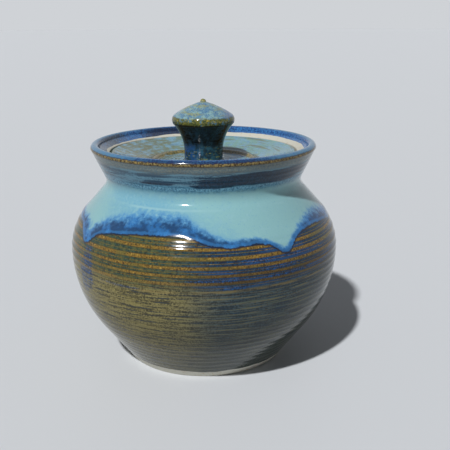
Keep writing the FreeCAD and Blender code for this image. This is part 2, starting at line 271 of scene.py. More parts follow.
class Surface:
    """The vertices of a spun mesh, as arrays that its relief and glaze are worked out from."""

    def __init__(self, mesh: Mesh, pen: SectionPen) -> None:
        """Args:
            mesh: the spun mesh.
            pen: the pen that drew its section.
        """
        self.mesh = mesh
        count = len(mesh.vertices)
        places = np.empty(count * 3, np.float32)
        mesh.vertices.foreach_get("co", places)
        self.places = places.reshape(-1, 3).astype(float) / MM
        travel = np.empty(count, np.float32)
        mesh.attributes[Mark.TRAVEL.value].data.foreach_get("value", travel)
        self.travel = travel.astype(float)
        self.height = self.places[:, 2]
        self.radius = np.hypot(self.places[:, 0], self.places[:, 1])
        # the front faces -Y, and angles grow towards +X
        self.angle = np.degrees(np.arctan2(self.places[:, 0], -self.places[:, 1]))
        self.path = np.array(pen.path)

    def push(self, outwards: np.ndarray) -> None:
        """Move each vertex along its section's normal.

        Args:
            outwards: how far each vertex moves out of the clay, in millimetres.
        """
        travels = self.path[:, 0] + np.arange(len(self.path)) * HAIR
        way = np.gradient(self.path[:, 1:], travels, axis=0)
        way /= np.linalg.norm(way, axis=1, keepdims=True)
        out = np.interp(self.travel, self.path[:, 0], way[:, 1])
        up = np.interp(self.travel, self.path[:, 0], -way[:, 0])
        share = 1 + outwards * out / np.maximum(self.radius, 1)
        self.places[:, :2] *= share[:, None]
        self.places[:, 2] += outwards * up

    def mark(self, name: Mark, values: np.ndarray) -> None:
        """Store one value for each vertex where the glaze can read it."""
        layer = self.mesh.attributes.get(name.value)
        if layer is None:
            layer = self.mesh.attributes.new(name.value, "FLOAT", "POINT")
        layer.data.foreach_set("value", values.astype(np.float32))

    def settle(self) -> None:
        """Write the moved vertices back to the mesh."""
        self.mesh.vertices.foreach_set("co", (self.places * MM).astype(np.float32).ravel())
        self.mesh.update()


def ramp(values: np.ndarray, low: float, high: float) -> np.ndarray:
    """A smooth step from 0 at low to 1 at high."""
    share = np.clip((values - low) / (high - low), 0, 1)
    return share * share * (3 - 2 * share)


@dataclass(frozen=True)
class ThrowingRings:
    """The ridges that the potter's fingers leave round the wall."""

    top: float = 96.3
    change: float = 71.5
    upper_pitch: float = 4.96
    lower_pitch: float = 3.7
    upper_depth: float = 0.32
    lower_depth: float = 0.13
    wear: float = 0.06
    sway: float = 0.1
    # each sway's waves in a turn, and its radians for a millimetre of height
    sways: tuple[Point, ...] = ((2, 0.13), (1, 0.31))
    change_fade: Point = (-12.0, 4.0)  # from the change, in millimetres
    top_fade: Point = (1.0, 6.0)  # from the top
    foot_fade: Point = (3.0, 10.0)  # from the ground
    roundness: float = 0.8

    def crest(self, height: np.ndarray, angle: np.ndarray) -> np.ndarray:
        """Where each point lies between two ridges.

        Args:
            height: heights of the points, in millimetres.
            angle: their angles, in degrees.

        Returns:
            0 on a ridge, growing to 1 half-way up to the next one and to -1 half-way down.
        """
        above = height - self.change
        turns = np.where(above > 0, above / self.upper_pitch, above / self.lower_pitch)
        for waves, climb in self.sways:
            turns += self.sway * np.sin(np.radians(angle) * waves + height * climb)
        return 2 * (turns - np.round(turns))

    def relief(self, height: np.ndarray, crest: np.ndarray) -> np.ndarray:
        """How far the clay stands out at each point: near 0 on a ridge, less in a groove."""
        upper = ramp(height - self.change, *self.change_fade)
        depth = self.lower_depth + (self.upper_depth - self.lower_depth) * upper
        depth *= ramp(height, *self.foot_fade) * (1 - ramp(height - self.top, *self.top_fade))
        return -self.wear - depth * np.sin(np.abs(crest) * math.pi / 2) ** self.roundness


@dataclass(frozen=True)
class FingerLine:
    """A fine spiral line that a finger leaves while the wheel turns. Sizes in millimetres."""

    depth: float
    pitch: float

    def relief(self, along: np.ndarray, angle: np.ndarray) -> np.ndarray:
        """How far the clay stands out at each point: 0 beside the line, less in it."""
        return self.depth * (np.sin(FULL_TURN * (along / self.pitch - angle / 360)) - 1) / 2


@dataclass(frozen=True)
class CobaltStain:
    """Places where the blue runs deeper: streaks on the belly and a dark band on the collar."""

    # each one's angle and height at its middle, then half its width and half its height
    spots: tuple[tuple[float, float, float, float], ...] = (
        (-54.5, 77, 5, 19), (-59, 68, 4, 14), (-35, 71.6, 14, 0.9), (4, 79, 14, 1.6),
        (11, 74, 7, 1.5), (30, 84, 13, 1.7), (33, 79, 14, 1.5), (22, 88.9, 12, 1.6),
        (40, 89.5, 9, 2.2), (100, 76, 9, 12), (131, 70, 5, 17), (-121, 73, 5, 13),
        (-150, 79, 16, 2), (165, 74, 12, 2), (70, 84, 14, 2),
        (31, 134.2, 42, 5.2), (4, 130.6, 14, 1.8), (-24, 131.4, 13, 0.8), (-96, 134, 26, 3.5),
        (125, 133, 30, 4.2), (-160, 132, 18, 3),
    )
    squareness: float = 2.4

    def share(self, surface: Surface) -> np.ndarray:
        """How deep the blue is at each vertex: 1 in the middle of a spot, 0 at its edge."""
        deepest = np.zeros(len(surface.height))
        for angle, height, wide, tall in self.spots:
            turn = (surface.angle - angle + 180) % 360 - 180
            climb = surface.height - height
            away = sum(np.abs(part) ** self.squareness for part in (turn / wide, climb / tall))
            deepest = np.maximum(deepest, 1 - away)
        return deepest


@dataclass(frozen=True)
class GlazeEdge:
    """The lower edge of the overglaze, which ran down the shoulder in the kiln."""

    # the edge all the way round: angle in degrees from the front, and height in millimetres
    points: tuple[Point, ...] = (
        (-176, 97.5), (-164, 95), (-154, 98.5), (-143, 101), (-132, 99.5), (-125, 93.5),
        (-120, 86), (-115, 93), (-108, 98.5), (-96, 100.5), (-80, 99.5), (-70, 99), (-66, 96.5),
        (-62.5, 92.5), (-59.5, 90), (-56.5, 91.5), (-53.5, 95.5), (-49.5, 98.6), (-44, 100),
        (-30, 102.2), (-10, 103.5), (-3, 101), (3, 98.2), (11, 96.9), (22, 98.2), (27.4, 96.5),
        (32, 92), (34.3, 90.2), (36.6, 92), (41, 97.4), (46, 100), (56, 101.2), (68, 99.8),
        (80, 97.2), (92, 98), (104, 101.5), (113, 100), (119, 95), (124, 88), (128.5, 94.5),
        (135, 100), (148, 102), (160, 100.5), (172, 98),
    )
    # how wide the mottled blue is above the edge: angle in degrees, and width in millimetres
    widths: tuple[Point, ...] = (
        (-170, 5), (-130, 9), (-100, 5), (-72, 5), (-58, 8), (-45, 11), (-30, 13), (-12, 12),
        (-3, 8), (10, 4.5), (30, 2.6), (42, 3.2), (52, 6), (62, 9), (85, 9), (120, 4), (150, 9),
    )
    samples: int = 720
    smoothing: int = 5
    reach: float = 30.0
    around: float = 84.0 * math.pi / 180  # millimetres in a degree, near the edge

    def _round(self, points: tuple[Point, ...], angle: np.ndarray) -> np.ndarray:
        """Read a closed list of (angle, value) points, with its corners rounded."""
        angles, values = np.array(points).T
        dense = np.linspace(-180, 180, self.samples, endpoint=False)
        read = np.interp(dense, angles, values, period=360)
        kernel = np.hanning(self.smoothing + 2)[1:-1]
        kernel /= kernel.sum()
        half = self.smoothing // 2
        read = np.convolve(np.concatenate((read[-half:], read, read[:half])), kernel, "valid")
        return np.interp(angle, dense, read, period=360)

    def distance(self, surface: Surface, first: float, last: float) -> np.ndarray:
        """How far each vertex is above the edge, along the surface, below it if negative.

        Args:
            surface: the pot's surface.
            first: the travel where the outside starts.
            last: the travel where the outside ends.

        Returns:
            Millimetres, no more than the reach either way.
        """
        outside = (surface.path[:, 0] >= first) & (surface.path[:, 0] <= last)
        travels, _, heights = surface.path[outside].T
        angle = np.linspace(-180, 180, self.samples, endpoint=False)
        travel = np.interp(self._round(self.points, angle), heights, travels)
        own = np.interp(self._round(self.points, surface.angle), heights, travels)
        side = np.sign(surface.travel - own)
        near = (np.abs(surface.travel - own) < self.reach) & (surface.travel < last)
        far = np.full(len(side), self.reach)
        turn = (surface.angle[near, None] - angle[None, :] + 180) % 360 - 180
        climb = surface.travel[near, None] - travel[None, :]
        far[near] = np.sqrt(((turn * self.around) ** 2 + climb ** 2).min(axis=1))
        return side * np.minimum(far, self.reach)

    def width(self, angle: np.ndarray) -> np.ndarray:
        """How wide the mottled blue is at each angle."""
        return self._round(self.widths, angle)


@dataclass(frozen=True)
class Term:
    """A value that varies over a piece. A desk turns it into nodes on its first use."""

    def make(self, desk: "GlazeDesk") -> NodeSocket:
        """Add the term's nodes and return their output."""
        raise NotImplementedError

    def __mul__(self, other: "Source") -> "Work":
        """The product: a share of a share."""
        return Work("MULTIPLY", self, other)

    def __or__(self, other: "Source") -> "Work":
        """The larger of the two."""
        return Work("MAXIMUM", self, other)


Source = Term | Axis | Mark | float


@dataclass(frozen=True)
class Work(Term):
    """Arithmetic on up to three sources."""

    operation: str
    first: Source
    second: Source = 0.0
    third: Source = 0.0

    def make(self, desk: "GlazeDesk") -> NodeSocket:
        """One Math node."""
        return desk.math(self.operation, self.first, self.second, self.third)


@dataclass(frozen=True)
class Gate(Term):
    """A smooth step from one share to another, while its source goes from low to high."""

    source: Source
    low: float
    high: float
    start: float = 0.0
    end: float = 1.0

    def make(self, desk: "GlazeDesk") -> NodeSocket:
        """One Map Range node."""
        values = (self.source, self.low, self.high, self.start, self.end)
        node = desk.node("MapRange", dict(enumerate(values)), interpolation_type="SMOOTHSTEP")
        return node.outputs[0]


@dataclass(frozen=True)
class Grain(Term):
    """Soft noise from 0 to 1, in flecks. Its scale is in waves to the metre."""

    scale: float
    detail: float = 2.0
    roughness: float = 0.55
    shift: tuple[float, float, float] = (0.0, 0.0, 0.0)

    def make(self, desk: "GlazeDesk") -> NodeSocket:
        """Noise on the piece's own coordinates."""
        where = desk.vector("ADD", desk.place, self.shift)
        return desk.noise(where, self.scale, self.detail, self.roughness)


@dataclass(frozen=True)
class Streak(Term):
    """Soft noise from 0 to 1, drawn out round the wheel's axis.

    It changes by turns on the way round the piece, and by rise for each millimetre along.
    """

    turns: float
    rise: float
    offset: float = 0.0
    detail: float = 2.0
    roughness: float = 0.55
    along: Axis = Axis.HEIGHT

    def make(self, desk: "GlazeDesk") -> NodeSocket:
        """Noise on coordinates that follow the wheel."""
        ray = desk.vector("MULTIPLY", desk.ray, (self.turns, self.turns, 0.0))
        level = Work("MULTIPLY_ADD", self.along, self.rise, self.offset)
        climb = desk.node("CombineXYZ", {"Z": level}).outputs[0]
        return desk.noise(desk.vector("ADD", ray, climb), 1.0, self.detail, self.roughness)


def ragged(source: Source, grain: Source, reach: float) -> Work:
    """A value moved up and down by a noise, by about half the reach each way."""
    return Work("MULTIPLY_ADD", Work("SUBTRACT", grain, 0.5), reach, source)


def aside(source: Source, middle: float = 0.0) -> Work:
    """How far a value is from a middle, on either side."""
    return Work("ABSOLUTE", Work("SUBTRACT", source, middle))


def between(source: Source, low: float, high: float, soft: float) -> Work:
    """A share that is 1 between two values, with soft ends."""
    return Gate(source, low - soft, low + soft) * Gate(source, high + soft, high - soft)


@dataclass(frozen=True)
class Paint:
    """A colour, plain or in several coats."""

    def coat(self, over: "Paint", share: Source) -> "Coated":
        """This paint with another laid over it by a share."""
        return Coated(self, over, share)


@dataclass(frozen=True)
class Pigment(Paint):
    """A glaze colour, written as six hexadecimal digits."""

    digits: str

    @property
    def linear(self) -> tuple[float, float, float, float]:
        """The colour as the linear values that a shader socket takes."""
        parts = [int(self.digits[at:at + 2], 16) / 255 for at in (0, 2, 4)]
        low = 0.04045
        bent = [part / 12.92 if part < low else ((part + 0.055) / 1.055) ** 2.4 for part in parts]
        return (*bent, 1.0)


@dataclass(frozen=True)
class Coated(Paint):
    """One paint laid over another."""

    under: Paint
    over: Paint
    share: Source

    def make(self, desk: "GlazeDesk") -> NodeSocket:
        """One Mix node, by its inputs for colours."""
        sources = {0: self.share, 6: self.under, 7: self.over}
        return desk.node("Mix", sources, data_type="RGBA").outputs[2]


def fleck(grain: Source, low: float, high: float, dark: Paint, light: Paint) -> Coated:
    """Two paints in flecks, by a noise and the two values that it turns between."""
    return dark.coat(light, Gate(grain, low, high))


class GlazeDesk:
    """A material's nodes, built up from terms and paints."""

    def __init__(self, name: str) -> None:
        """Args:
            name: the material's name.
        """
        self.material = bpy.data.materials.new(name)
        self.material.use_nodes = True
        self.tree = self.material.node_tree
        self.made: dict[Source | Paint, NodeSocket] = {}
        self.place = self.node("TexCoord", {}).outputs["Object"]
        across, _, up = self.node("SeparateXYZ", {0: self.place}).outputs
        flat = self.vector("MULTIPLY", self.place, (1.0, 1.0, 0.0))
        self.ray = self.vector("NORMALIZE", flat)
        out = self.vector("LENGTH", flat)
        for axis, metres in ((Axis.ACROSS, across), (Axis.HEIGHT, up), (Axis.RADIUS, out)):
            self.made[axis] = self.math("DIVIDE", metres, MM)

    def read(self, source: Source | Paint | NodeSocket) -> NodeSocket:
        """A source's socket, made on its first use."""
        if isinstance(source, NodeSocket):
            return source
        if source not in self.made:
            self.made[source] = source.make(self)
        return self.made[source]

    def feed(self, socket: NodeSocket, source: Source | Paint | NodeSocket | tuple) -> None:
        """Link a source to a socket, or set a constant there."""
        if isinstance(source, Pigment):
            socket.default_value = source.linear
        elif isinstance(source, (int, float, tuple)):
            socket.default_value = source
        else:
            self.tree.links.new(self.read(source), socket)

    def node(self, kind: str, sources: dict, **settings: str) -> bpy.types.Node:
        """Add a node.

        Args:
            kind: its type, without the prefix that all shader nodes have.
            sources: what its inputs take, by the input's name or number.
            settings: what it is set to do.

        Returns:
            The node.
        """
        node = self.tree.nodes.new("ShaderNode" + kind)
        for setting, choice in settings.items():
            setattr(node, setting, choice)
        for key, source in sources.items():
            self.feed(node.inputs[key], source)
        return node

    def math(self, operation: str, *sources: Source | NodeSocket) -> NodeSocket:
        """A Math node."""
        return self.node("Math", dict(enumerate(sources)), operation=operation).outputs[0]

    def vector(self, operation: str, *sources: NodeSocket | tuple) -> NodeSocket:
        """A Vector Math node."""
        node = self.node("VectorMath", dict(enumerate(sources)), operation=operation)
        return node.outputs["Value" if operation == "LENGTH" else "Vector"]

    def noise(self, where: NodeSocket, scale: float, detail: float, roughness: float,
              ) -> NodeSocket:
        """A Noise Texture node."""
        sources = {"Vector": where, "Scale": scale, "Detail": detail, "Roughness": roughness}
        return self.node("TexNoise", sources).outputs["Fac"]


@dataclass(frozen=True)
class Sheen:
    """How the fired surface shines: glass-smooth glaze, and matt clay where it is bare."""

    glazed: float = 0.06
    matt: float = 0.8
    variation: float = 0.1
    refraction: float = 1.5
    gloss: float = 0.32
    swell: Grain = Grain(160.0, 1.0)
    swell_height: float = 0.5
    clay_height: float = 0.6
    bump_strength: float = 0.35
    bump_depth: float = 0.15

    def finish(self, desk: GlazeDesk, colour: Paint, bare: Source, grain: Grain) -> Material:
        """Connect the surface.

        Args:
            desk: the material's desk.
            colour: the base colour.
            bare: 1 on bare clay, 0 on glaze.
            grain: the fine noise that roughens both a little.

        Returns:
            The material.
        """
        base = Work("MULTIPLY_ADD", bare, self.matt - self.glazed, self.glazed)
        relief = Work("MULTIPLY_ADD", grain * bare, self.clay_height,
                      self.swell * self.swell_height)
        bump = desk.node("Bump", {"Strength": self.bump_strength, "Height": relief,
                                  "Distance": self.bump_depth * MM})
        looks = {
            "Base Color": colour,
            "Roughness": Work("MULTIPLY_ADD", grain, self.variation, base),
            "IOR": self.refraction,
            "Specular IOR Level": self.gloss,
            "Normal": bump.outputs[0],
        }
        surface = desk.tree.nodes["Principled BSDF"]
        for name, source in looks.items():
            desk.feed(surface.inputs[name], source)
        return desk.material


BARE_CLAY = fleck(Grain(500.0, 3.0), 0.55, 0.75, Pigment("C2C0B4"), Pigment("B8A88E"))


@dataclass(frozen=True)
class PotGlaze:
    """Amber-blue glaze over the whole pot, and a paler blue over its upper half.

    The amber-blue is gold where it is thin on the ridges, and green or blue in the grooves.
    Places are in millimetres: heights from the ground, and travels along the section.
    """

    fine: Grain = Grain(950.0, 3.0, 0.65)
    coarse: Grain = Grain(330.0, 3.0, 0.6)
    drift: Grain = Grain(16.0)
    patch: Streak = Streak(3.2, 0.22, 7.0)
    sweep: Streak = Streak(5.0, 0.85, 2.0, 3.0, 0.6)
    tier: Streak = Streak(3.0, 0.5, 0.0, 3.0, 0.6)
    thin: Streak = Streak(2.0, 0.1, 4.0)
    crest: Work = ragged(aside(Mark.CREST), fine, 0.45)
    right: Gate = Gate(ragged(Axis.ACROSS, drift, 60.0), -38.0, 20.0)

    bark: Pigment = Pigment("2A1D0E")
    brown: Pigment = Pigment("3A280C")
    bright_gold: Pigment = Pigment("B08C3C")
    straw: Pigment = Pigment("7C6E44")
    olive: Pigment = Pigment("56562A")
    dark_drab: Pigment = Pigment("38351F")
    ink: Pigment = Pigment("0A1A30")
    navy: Pigment = Pigment("060F28")
    slate_blue: Pigment = Pigment("183A52")
    storm_blue: Pigment = Pigment("1A3850")
    cobalt: Pigment = Pigment("164E86")
    deep_cobalt: Pigment = Pigment("0A2A4C")
    azure: Pigment = Pigment("3479B4")
    steel: Pigment = Pigment("5A8294")
    foam: Pigment = Pigment("8AB2B8")
    rim_blue: Pigment = Pigment("0F3570")
    rim_sky: Pigment = Pigment("34709F")

    green: Paint = fleck(fine, 0.38, 0.6, Pigment("182622"), Pigment("33493A")).coat(
        olive, Gate(coarse, 0.44, 0.58) * 0.7)
    blue: Paint = fleck(fine, 0.38, 0.62, ink, slate_blue).coat(
        cobalt, Gate(patch, 0.48, 0.6) * 0.4)
    ridge: Paint = (
        fleck(fine, 0.36, 0.54, brown, Pigment("7A6024"))
        .coat(bright_gold, Gate(fine, 0.58, 0.7))
        .coat(olive, Gate(patch, 0.5, 0.38) * 0.6)
        .coat(bark, Gate(Axis.HEIGHT, 93.0, 76.0) * right * 0.75)
    )
    belly: Paint = (
        green.coat(blue, right)
        .coat(ridge, Gate(crest, 0.48, 0.32))
        .coat(bark, between(crest, 0.36, 0.52, 0.06) * 0.45)
    )
    speckle: Work = ragged(fine, sweep, 1.1)
    worn: Gate = Gate(Axis.HEIGHT, 66.0, 76.0, 0.3, 0.85)
    flank: Paint = (
        fleck(speckle, 0.34, 0.64, dark_drab, Pigment("887F4E"))
        .coat(fleck(speckle, 0.34, 0.66, Pigment("18262C"), Pigment("384C54")), right)
        .coat(olive, Gate(sweep, 0.54, 0.66) * 0.45)
        .coat(slate_blue, Gate(sweep, 0.43, 0.32) * 0.45)
        .coat(straw, Gate(crest, 0.4, 0.15) * Gate(sweep, 0.38, 0.56) * worn)
        .coat(bark, Gate(crest, 0.55, 0.85) * 0.5)
        .coat(dark_drab, Gate(Axis.HEIGHT, 60.0, 34.0) * 0.3)
        # greyer towards the foot: painted reflection of the pale floor on the lower flank
        .coat(Pigment("4C514D"), Gate(Axis.HEIGHT, 32.0, 10.0) * 0.45)
    )
    stained: Gate = Gate(ragged(Mark.STAIN, coarse, 1.7), 0.2, 0.9)
    body: Paint = (
        belly.coat(flank, Gate(ragged(Axis.HEIGHT, drift, 9.0), 80.0, 69.0))
        .coat(fleck(fine, 0.4, 0.66, ink, cobalt), stained * Gate(crest, 0.25, 0.6, 0.3, 0.9))
    )

    feather: Work = ragged(Mark.FEATHER, coarse, 1.3)
    mottled: Paint = fleck(fine, 0.32, 0.68, cobalt, azure).coat(
        deep_cobalt, Gate(ragged(Grain(130.0), fine, 0.5), 0.4, 0.58) * 0.8)
    overglaze: Paint = (
        fleck(ragged(drift, coarse, 0.4), 0.44, 0.7, Pigment("80ACB0"), Pigment("6C9EB0"))
        .coat(foam, Gate(coarse, 0.52, 0.68) * 0.4)
        .coat(azure, Gate(fine, 0.57, 0.7) * 0.3)
        .coat(azure, Gate(feather, 1.5, 0.8) * 0.8)
        .coat(mottled, Gate(feather, 1.15, 0.5))
    )

    level: Work = ragged(ragged(Axis.HEIGHT, coarse, 1.6), tier, 4.0)
    pooled: Work = ragged(ragged(Mark.STAIN, tier, 1.4), fine, 0.5)
    collar: Paint = (
        fleck(ragged(tier, fine, 0.35), 0.4, 0.6, steel, Pigment("2E4C60"))
        .coat(fleck(fine, 0.38, 0.62, Pigment("35647C"), Pigment("669AB0")),
              Gate(level, 132.0, 128.6))
        .coat(fleck(fine, 0.4, 0.62, Pigment("5A6466"), Pigment("7A7E72")),
              Gate(level, 136.6, 141.0) * 0.8)
        .coat(fleck(fine, 0.4, 0.64, Pigment("0C1C2C"), storm_blue),
              Gate(pooled, 0.18, 0.5) * 0.94)
        .coat(storm_blue, between(ragged(Axis.HEIGHT, coarse, 1.2), 126.0, 127.2, 0.4) * 0.25)
    )

    lip: Paint = fleck(fine, 0.4, 0.64, rim_blue, rim_sky).coat(
        fleck(fine, 0.36, 0.6, rim_sky, Pigment("4C748C")),
        Gate(ragged(aside(Axis.ACROSS), coarse, 60.0), 26.0, 58.0))
    thread: Paint = fleck(fine, 0.42, 0.56, brown, straw).coat(
        bright_gold, Gate(fine, 0.58, 0.7) * 0.8)
    across: Work = ragged(Axis.ACROSS, coarse, 24.0)
    throat: Paint = (
        fleck(fine, 0.38, 0.64, rim_blue, azure)
        .coat(fleck(fine, 0.45, 0.7, navy, deep_cobalt), between(across, -44.0, 18.0, 8.0) * 0.9)
        # olive and dark brown flecks at the far left inside the lip: painted shade on the inner
        # wall that turns away from the key light
        .coat(fleck(fine, 0.38, 0.62, bark, olive), between(across, -70.0, -58.0, 8.0) * 0.7)
    )
    liner: Paint = fleck(coarse, 0.4, 0.65, Pigment("3E6F86"), steel)

    def _bare(self, corners: dict[str, float]) -> Work:
        """Where the clay is bare: the lid's shelf and the foot, with wavy edges."""
        wiped = ragged(Mark.TRAVEL, Grain(60.0), 3.2)
        leaning = ragged(wiped, Gate(Axis.ACROSS, -50.0, 45.0), 3.4)
        inner, throat, foot = corners["lip_inner"], corners["throat"], corners["foot"]
        shelf = Gate(leaning, inner + 3.9, inner + 4.2) * Gate(wiped, throat + 4.0, throat + 3.7)
        return shelf | Gate(wiped, foot + 6.4, foot + 6.1)

    def mix(self, corners: dict[str, float]) -> Material:
        """Build the material.

        Args:
            corners: each corner's travel along the pot's section.

        Returns:
            The material.
        """
        neck, lip = corners["neck_start"], corners["lip_outer"]
        crest, throat = corners["lip_crest"], corners["throat"]
        run = ragged(ragged(Mark.RUN, self.coarse, 2.0), self.fine, 1.2)
        fold = between(ragged(Mark.TRAVEL, self.coarse, 1.0), neck - 3.4, neck - 2.0, 0.5)
        above_fold = Gate(Mark.TRAVEL, neck - 0.6, neck + 1.2)
        rim = ragged(Mark.TRAVEL, self.coarse, 1.4)
        front = Gate(aside(Axis.ACROSS), 55.0, 25.0)
        bare = self._bare(corners)
        colour = (
            self.body
            .coat(self.overglaze, Gate(run, -0.3, 0.3))
            .coat(self.azure, between(run, 0.5, 2.2, 0.4) * 0.4)
            .coat(self.navy, between(run, -0.8, 0.3, 0.3) * 0.8)
            .coat(self.foam, fold * Gate(self.thin, 0.45, 0.6) * 0.7)
            .coat(self.collar, above_fold
                  * Gate(ragged(Axis.HEIGHT, self.coarse, 3.0), 124.4, 128.4))
            .coat(self.lip, Gate(rim, lip + 0.5, lip + 1.3))
            .coat(self.throat, Gate(rim, crest + 0.8, crest + 2.4))
            .coat(self.navy, between(rim, lip + 1.4, lip + 3.2, 0.5) * front * 0.6)
            .coat(self.bark, between(rim, lip - 1.15, lip + 1.6, 0.3) * 0.75)
            .coat(self.thread, between(rim, lip - 0.7, lip + 1.0, 0.3))
            .coat(self.liner, Gate(Mark.TRAVEL, throat, throat + 1.0))
            .coat(BARE_CLAY, bare)
        )
        return Sheen().finish(GlazeDesk("pot_glaze"), colour, bare, self.fine)


@dataclass(frozen=True)
class LidGlaze:
    """Mottled aqua that breaks to olive and gold on the raised ring."""

    fine: Grain = Grain(850.0, 3.0, 0.65)
    coarse: Grain = Grain(190.0, 3.0, 0.6)
    streak: Streak = Streak(1.8, 0.5, 0.0, 3.0, 0.6, Axis.RADIUS)

    olive: Pigment = Pigment("40421C")
    sage: Pigment = Pigment("606034")
    cobalt: Pigment = Pigment("2A567E")
    ink: Pigment = Pigment("1A2A3C")
    broken: Paint = fleck(fine, 0.42, 0.58, olive, Pigment("7E6C2C"))
    left: Gate = Gate(ragged(Axis.ACROSS, coarse, 50.0), 4.0, -44.0)
    aqua: Paint = (
        fleck(coarse, 0.38, 0.62, Pigment("6F9892"), Pigment("6E9AB0"))
        .coat(sage, left * Gate(coarse, 0.66, 0.4) * 0.8)
        .coat(sage, Gate(streak, 0.5, 0.66) * 0.7)
        .coat(cobalt, Gate(streak, 0.42, 0.32) * 0.45)
        .coat(cobalt, Gate(fine, 0.54, 0.66) * 0.55)
        .coat(olive, Gate(fine, 0.44, 0.32) * 0.5)
    )

    def mix(self, corners: dict[str, float], ring_radius: float) -> Material:
        """Build the material.

        Args:
            corners: each corner's travel along the lid's section.
            ring_radius: the raised ring's radius, in millimetres.

        Returns:
            The material.
        """
        edge = corners["flange_top_start"]
        off_ring = ragged(aside(Axis.RADIUS, ring_radius), self.coarse, 5.0)
        outside_ring = between(ragged(Axis.RADIUS, self.coarse, 3.0), ring_radius + 3.0,
                               ring_radius + 4.4, 0.6)
        bare = Gate(Mark.TRAVEL, edge - 2.4, edge - 2.8)
        colour = (
            self.aqua
            .coat(self.broken, Gate(off_ring, 5.2, 2.8) * 0.95)
            .coat(self.ink, outside_ring * 0.4)
            .coat(BARE_CLAY, bare)
        )
        return Sheen().finish(GlazeDesk("lid_glaze"), colour, bare, self.fine)


@dataclass(frozen=True)
class KnobGlaze:
    """Aqua dome, olive band and dark stem, with a near-black flare that is partly its own dark
    glaze and partly painted shade under the band.
    """

    fine: Grain = Grain(1000.0, 3.0, 0.65)
    coarse: Grain = Grain(300.0, 3.0, 0.6)
    other: Grain = Grain(800.0, shift=(0.5, 0.3, 0.1))
    sweep: Streak = Streak(1.4, 0.5, 3.0, 3.0, 0.6)
    stroke: Streak = Streak(3.4, 1.2, 9.0)
    level: Work = ragged(Axis.HEIGHT, coarse, 2.0)

    straw: Pigment = Pigment("8A8A42")
    yellow: Pigment = Pigment("A8943A")
    olive: Pigment = Pigment("64662E")
    brown: Pigment = Pigment("2A2412")
    haze: Pigment = Pigment("56809A")
    night: Pigment = Pigment("1C3240")
    # the flare's near-black flecks are the glaze's own dark navy deepened by painted shade where
    # the band overhangs it
    flare: Paint = fleck(coarse, 0.42, 0.64, Pigment("080F16"), night)
    left: Gate = Gate(ragged(Axis.ACROSS, coarse, 16.0), 3.0, -8.0)
    stem: Paint = fleck(coarse, 0.4, 0.6, night, Pigment("2E5666")).coat(
        Pigment("1B427A"), left * Gate(coarse, 0.44, 0.56) * 0.8)
    dome: Paint = (
        fleck(coarse, 0.4, 0.62, haze, Pigment("7FA4A6"))
        .coat(straw, Gate(sweep, 0.5, 0.62) * 0.65)
        .coat(straw, Gate(other, 0.56, 0.66) * 0.6)
        .coat(Pigment("28588A"), Gate(fine, 0.5, 0.62) * 0.75)
        .coat(Pigment("3E5298"), Gate(ragged(Axis.ACROSS, coarse, 8.0), 10.0, 18.0) * 0.5)
    )
    band: Paint = (
        fleck(fine, 0.4, 0.6, Pigment("38442A"), olive)
        .coat(haze, Gate(coarse, 0.54, 0.64) * 0.7)
        .coat(yellow, Gate(other, 0.58, 0.68) * 0.8)
    )
    peak: Paint = fleck(fine, 0.45, 0.6, olive, yellow)

    def mix(self, seat: float, band_foot: float, band_top: float, tip: float) -> Material:
        """Build the material.

        Args:
            seat: the height of the knob's base, in millimetres.
            band_foot: the height where the band starts.
            band_top: the height where the dome starts.
            tip: the height of the knob's top.

        Returns:
            The material.
        """
        level = self.level
        strokes = (Gate(self.stroke, 0.57, 0.63) * Gate(self.fine, 0.42, 0.56)
                   * Gate(level, seat + 13.0, seat + 6.0))
        line = between(ragged(Axis.HEIGHT, self.coarse, 1.2), band_foot + 0.6,
                       band_foot + 1.5, 0.3)
        colour = (
            self.flare
            .coat(self.stem, Gate(level, seat + 14.0, seat + 9.0))
            .coat(self.straw, strokes * 0.8)
            .coat(self.dome, Gate(level, band_top - 1.6, band_top - 0.6))
            .coat(self.band, between(level, band_foot + 1.5, band_top - 1.0, 0.5))
            .coat(self.brown, line * 0.85)
            .coat(self.peak, Gate(level, tip - 2.8, tip - 1.4) * 0.8)
        )
        return Sheen().finish(GlazeDesk("knob_glaze"), colour, 0.0, self.fine)


@dataclass(frozen=True)
class LidFit:
    """Where the lid meets the pot. Both pieces take these sizes, in millimetres, from here."""

    lid_radius: float = 61.7
    side_gap: float = 1.0
    seat_width: float = 6.7

    @property
    def gallery_radius(self) -> float:
        """The radius of the short wall round the lid."""
        return self.lid_radius + self.side_gap

    @property
    def throat_radius(self) -> float:
        """The radius of the mouth, where the seat ends."""
        return self.lid_radius - self.seat_width


def put(name: str, data: bpy.types.ID) -> Object:
    """A new object in the scene."""
    thing = bpy.data.objects.new(name, data)
    bpy.context.scene.collection.objects.link(thing)
    return thing


@dataclass
class ThrownPiece:
    """What every piece off the wheel shares: a spun section, a body, a node and a finish."""

    name: str
    body: Body
    node: str
    slot: Slot
    turns: int = 256

    def draw(self) -> SectionPen:
        """Draw the section."""
        raise NotImplementedError

    def throw(self, surface: Surface, corners: dict[str, float]) -> None:
        """Give the spun surface what the fingers and the kiln leave on it.

        Args:
            surface: the spun surface.
            corners: each corner's travel along the section.
        """
        raise NotImplementedError

    def dress(self, corners: dict[str, float]) -> Material:
        """The piece's finish, by each corner's travel along the section."""
        raise NotImplementedError

    def build(self) -> Object:
        """Draw, spin, throw and glaze the piece, and put it in the scene on its body."""
        pen = self.draw()
        mesh = pen.spin(self.name, self.turns)
        surface = Surface(mesh, pen)
        self.throw(surface, pen.corners)
        surface.settle()
        mesh.materials.append(self.dress(pen.corners))
        piece = put(self.name, mesh)
        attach(piece, self.body.value)
        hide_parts(self.node)
        log.info("%s: %d faces on body %s", self.name, len(mesh.polygons), self.body.value)
        return piece


